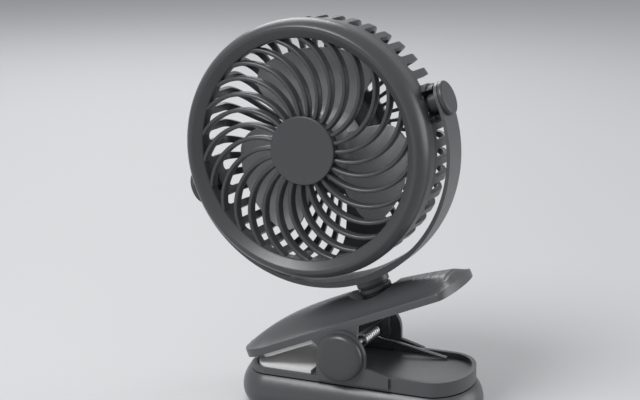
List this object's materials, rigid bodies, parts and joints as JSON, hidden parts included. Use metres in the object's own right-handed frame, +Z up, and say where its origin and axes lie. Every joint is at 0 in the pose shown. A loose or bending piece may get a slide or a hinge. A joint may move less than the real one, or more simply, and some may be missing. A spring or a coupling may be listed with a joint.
{
  "type": "clip fan",
  "caption": "Small clip fan: a caged round head tips in a half-ring yoke that swivels on the upper jaw of a sprung clip with rubber-lined mouth.",
  "frame": {"origin": "on the surface that the clip's base rests on, straight below the pin of the clip", "axes": "+Z up; +X along the clip from its mouth to its handles; the fan faces -Y at rest"},
  "size_m": [0.183, 0.0728, 0.2308],
  "materials": {
    "shell_plastic": "satin, very fine grain",
    "guard_plastic": "satin",
    "blade_plastic": "satin",
    "strap_metal": "smooth satin paint",
    "cap_plastic": "satin",
    "pad_rubber": "soft matt",
    "sole_rubber": "matt",
    "spring_steel": "bright drawn wire",
    "zinc_steel": "zinc plated",
    "screw_steel": "machined",
    "button_plastic": "smooth",
    "board_green": "lacquered",
    "black_plastic": "matt",
    "magnet": "ferrite",
    "copper_rotor": "wound copper over steel",
    "wire_skin": "insulation",
    "lens_clear": "clear light pipe",
    "low_friction": "nylon"
  },
  "bodies": {
    "base": {"bottom_jaw": "shell_plastic", "base_shell": "shell_plastic", "base_screws": "screw_steel", "base_sole": "sole_rubber", "bottom_pad": "pad_rubber", "pivot_pin": "zinc_steel", "pin_clip": "zinc_steel", "pivot_cap_front": "cap_plastic", "pivot_cap_rear": "cap_plastic", "torsion_spring": "spring_steel"},
    "upper_jaw": {"top_jaw": "shell_plastic", "jaw_liner": "shell_plastic", "liner_screws": "screw_steel", "top_pad": "pad_rubber", "neck_base": "cap_plastic", "neck_screw": "screw_steel", "neck_nut_washer": "zinc_steel", "neck_nut": "zinc_steel", "neck_washer": "low_friction"},
    "yoke_arm": {"yoke": "strap_metal", "yoke_collar": "cap_plastic", "yoke_cap_left": "cap_plastic", "yoke_cap_right": "cap_plastic"},
    "fan_head": {"front_guard": "guard_plastic", "centre_cap": "guard_plastic", "rear_cage": "guard_plastic", "hub_cover": "guard_plastic", "cover_screws": "screw_steel", "circuit_board": "board_green", "board_screws": "screw_steel", "switch_body": "black_plastic", "power_socket": "zinc_steel", "indicator_lens": "lens_clear", "indicator_light": "lens_clear", "motor_can": "zinc_steel", "motor_end_cap": "black_plastic", "motor_magnets": "magnet", "motor_wires": "wire_skin", "pivot_screw_left": "screw_steel", "pivot_screw_right": "screw_steel", "pivot_washer_left": "low_friction", "pivot_washer_right": "low_friction"},
    "rotor": {"impeller": "blade_plastic", "motor_shaft": "screw_steel", "motor_rotor": "copper_rotor"},
    "button": {"power_button": "button_plastic", "switch_plunger": "black_plastic"}
  },
  "joints": [
    {"name": "jaw_open", "type": "hinge", "parent": "base", "child": "upper_jaw", "pos_m": [0, 0, 0.0382], "axis": [0, 1, 0], "range_deg": [0, 30], "stiffness_Nm_per_rad": 0.35, "springref_deg": -57.3, "deforming": ["torsion_spring"]},
    {"name": "neck_swivel", "type": "hinge", "parent": "upper_jaw", "child": "yoke_arm", "pos_m": [-0.0261, 0, 0.155], "axis": [-0.3922, 0, 0.9199], "range_deg": [-180, 180]},
    {"name": "head_tip", "type": "hinge", "parent": "yoke_arm", "child": "fan_head", "pos_m": [-0.0261, 0, 0.155], "axis": [0.9199, 0, 0.3922], "range_deg": [-180, 180]},
    {"name": "impeller_spin", "type": "hinge", "parent": "fan_head", "child": "rotor", "pos_m": [-0.0261, 0, 0.155], "axis": [-0.0151, -0.9993, 0.0353], "continuous": true},
    {"name": "button_press", "type": "slide", "parent": "fan_head", "child": "button", "axis": [-0.0151, -0.9993, 0.0353], "range_m": [0, 0.0007], "stiffness_N_per_m": 1500, "springref_m": -0.0002}
  ]
}
